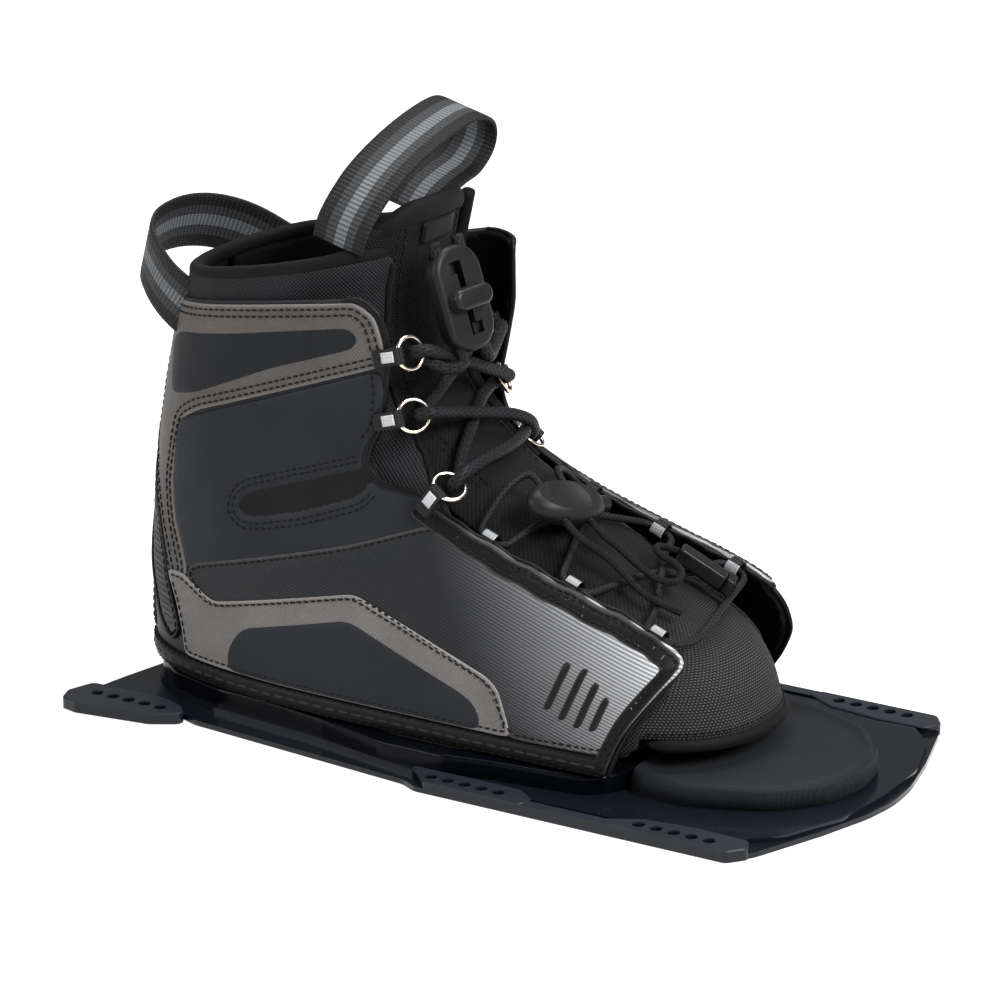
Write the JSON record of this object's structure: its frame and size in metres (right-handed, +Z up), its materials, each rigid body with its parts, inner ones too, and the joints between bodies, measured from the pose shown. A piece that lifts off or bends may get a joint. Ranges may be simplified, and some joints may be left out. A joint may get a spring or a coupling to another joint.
{
  "type": "water ski boot binding",
  "caption": "Open-toe lace-up water ski boot on a drilled mounting plate, with ring lacing, two lace locks and webbing pull loops.",
  "frame": {"origin": "centre of the mounting plate's bottom face", "axes": "+X towards the toe, +Z up away from the ski, +Y towards the medial side"},
  "size_m": [0.3563, 0.176, 0.2519],
  "materials": {
    "plate": "gloss",
    "screw_steel": "satin",
    "board": "matte",
    "foam": "matte",
    "neoprene": "matte",
    "tongue_mesh": "woven",
    "binding_tape": "woven",
    "upper_synthetic": "matte",
    "taupe_film": "satin",
    "slate_film": "matte",
    "carbon_weave": "satin",
    "rubber_rib": "matte",
    "ring_metal": "polished",
    "tab_webbing": "woven",
    "heel_film": "satin",
    "loop_webbing": "woven",
    "lace_cord": "braided",
    "lock_plastic": "satin",
    "knob_plastic": "satin"
  },
  "bodies": {
    "boot": {"base_plate": "plate", "frame_screws": "screw_steel", "handle_cap": "knob_plastic", "heel_counter": "heel_film", "insole": "foam", "lace_handle": "lock_plastic", "lace_tail_front": "lace_cord", "lace_tail_rear": "lace_cord", "lateral_ankle_panel": "slate_film", "lateral_cuff_panel": "taupe_film", "lateral_forefoot_panel": "carbon_weave", "lateral_heel_strip": "rubber_rib", "lateral_lace_tabs": "tab_webbing", "lateral_lower_panel": "taupe_film", "lateral_ring_tabs": "tab_webbing", "lateral_rings": "ring_metal", "liner": "neoprene", "liner_collar": "neoprene", "lower_lace": "lace_cord", "medial_ankle_panel": "slate_film", "medial_cuff_panel": "taupe_film", "medial_forefoot_panel": "carbon_weave", "medial_heel_strip": "rubber_rib", "medial_lace_tabs": "tab_webbing", "medial_lower_panel": "taupe_film", "medial_ring_tabs": "tab_webbing", "medial_rings": "ring_metal", "sole_board": "board", "sole_frame": "plate", "toe_binding": "binding_tape", "toe_pad": "foam", "tongue": "tongue_mesh", "tongue_label": "binding_tape", "upper_lace": "lace_cord", "upper_lateral": "upper_synthetic", "upper_medial": "upper_synthetic", "welt": "binding_tape"},
    "upper_lock": {"upper_lock_body": "lock_plastic"},
    "upper_knob": {"upper_lock_knob": "knob_plastic"},
    "lower_lock": {"lower_lock_body": "lock_plastic"},
    "lower_button": {"lower_lock_button": "knob_plastic"},
    "heel_loop": {"heel_pull_loop": "loop_webbing"},
    "front_loop": {"front_pull_loop": "loop_webbing"}
  },
  "joints": [
    {"name": "upper_lock_slide", "type": "slide", "parent": "boot", "child": "upper_lock", "axis": [-0.3, 0, 0.9539], "range_m": [0, 0.006]},
    {"name": "upper_knob_slide", "type": "slide", "parent": "upper_lock", "child": "upper_knob", "axis": [-0.3, 0, 0.9539], "range_m": [-0.009, 0.009]},
    {"name": "lower_lock_slide", "type": "slide", "parent": "boot", "child": "lower_lock", "axis": [-0.7985, 0.3893, 0.4592], "range_m": [0, 0.0025]},
    {"name": "lower_button_press", "type": "slide", "parent": "lower_lock", "child": "lower_button", "axis": [-0.3403, -0.9209, 0.1902], "range_m": [0, 0.0015], "stiffness_N_per_m": 800},
    {"name": "heel_loop_fold", "type": "hinge", "parent": "boot", "child": "heel_loop", "pos_m": [-0.149, 0, 0.168], "axis": [0, 1, 0], "range_deg": [-10, 5], "stiffness_Nm_per_rad": 0.05},
    {"name": "front_loop_fold", "type": "hinge", "parent": "boot", "child": "front_loop", "pos_m": [-0.063, 0, 0.205], "axis": [0, 1, 0], "range_deg": [-25, 8], "stiffness_Nm_per_rad": 0.05}
  ]
}
